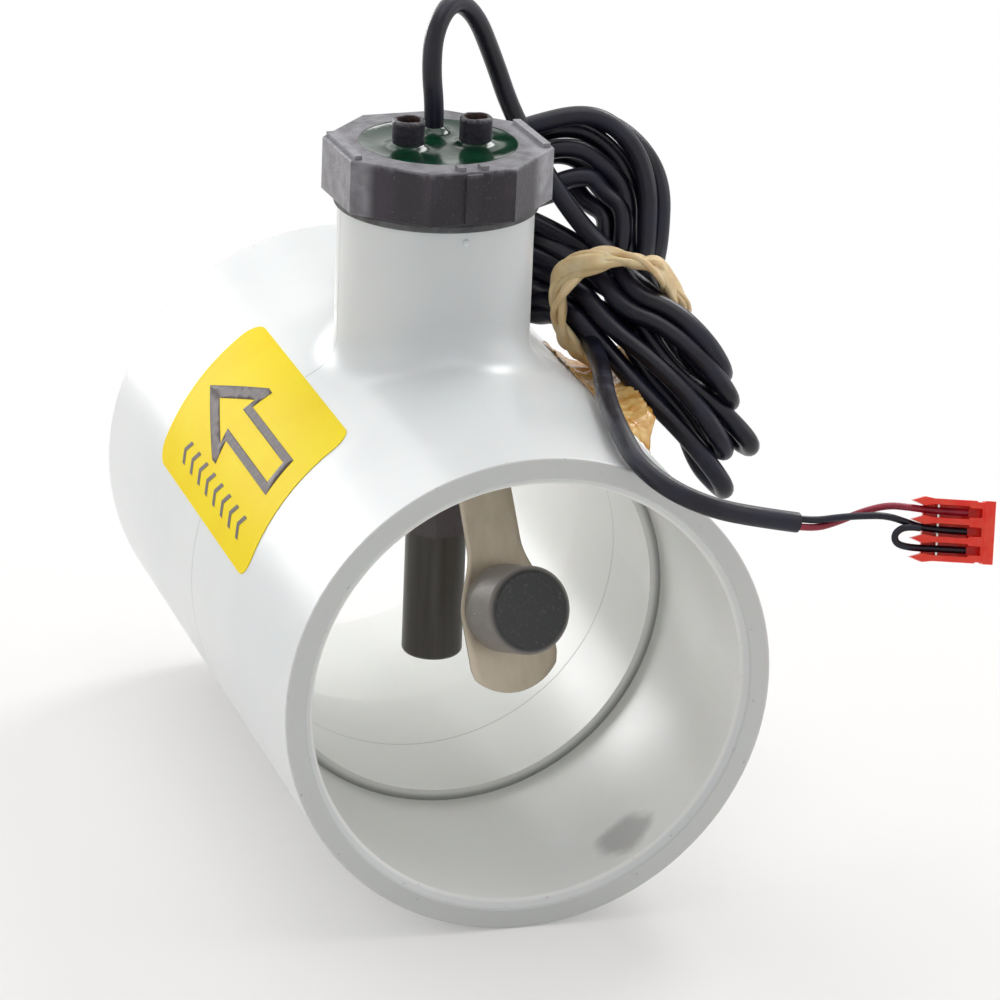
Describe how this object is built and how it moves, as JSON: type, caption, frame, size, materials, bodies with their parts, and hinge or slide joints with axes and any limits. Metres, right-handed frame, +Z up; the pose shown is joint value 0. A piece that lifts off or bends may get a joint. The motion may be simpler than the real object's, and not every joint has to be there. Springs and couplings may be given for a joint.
{
  "type": "paddle flow switch",
  "caption": "Flow switch in a pipe tee: a leaf spring with a magnet hangs in the flow beside a blind reed tube under a threaded plug, with a wound cable and a small connector.",
  "frame": {"origin": "centre of the inlet socket's pipe stop, on the run's axis", "axes": "+Y along the run, the way the water flows; +Z up the branch neck; +X to the right of the flow"},
  "size_m": [0.0949, 0.1235, 0.1149],
  "materials": {
    "pvc": "white moulded plastic, smooth with a light gloss",
    "label": "printed yellow film",
    "plug_plastic": "dark grey moulded plastic, fine grain",
    "gasket": "black rubber washer",
    "resin": "deep green cast resin, glossy",
    "tube_plastic": "dark grey plastic tube",
    "glass": "clear greenish glass",
    "reed_metal": "plated nickel-iron",
    "copper": "tinned copper",
    "spring_steel": "stainless spring steel",
    "screw_metal": "stainless steel",
    "magnet_case": "dark moulded case",
    "magnet": "sintered ferrite",
    "jacket": "black flexible jacket, satin",
    "band": "natural rubber",
    "tape": "clear amber adhesive tape",
    "wire_red": "red insulation",
    "connector": "translucent red-orange nylon",
    "contact_metal": "tin-plated contacts"
  },
  "bodies": {
    "switch_body": {"tee_body": "pvc", "flow_label": "label", "plug_body": "plug_plastic", "plug_gasket": "gasket", "potting_compound": "resin", "reed_tube": "tube_plastic", "reed_glass": "glass", "fixed_reed": "reed_metal", "moving_reed": "reed_metal", "upper_lead": "copper", "return_lead": "copper", "conductors": "copper", "splices": "copper", "post_left": "plug_plastic", "post_right": "plug_plastic", "leaf_root": "spring_steel", "clamp_plate": "spring_steel", "clamp_screws": "screw_metal", "cable_lead": "jacket", "cable_hank": "jacket", "cable_tail": "jacket", "rubber_band": "band", "tape_tab": "tape", "wire_red": "wire_red", "wire_black": "jacket", "wire_jumper": "jacket", "connector_housing": "connector", "connector_contacts": "contact_metal"},
    "paddle": {"leaf_blade": "spring_steel", "magnet_cup": "magnet_case", "magnet_core": "magnet", "paddle_rivet": "screw_metal"}
  },
  "joints": [
    {"name": "paddle_flex", "type": "hinge", "parent": "switch_body", "child": "paddle", "pos_m": [0.0041, 0.0128, 0.0274], "axis": [0.9828, 0.1653, 0.0829], "range_deg": [-8, 20], "stiffness_Nm_per_rad": 0.07}
  ]
}
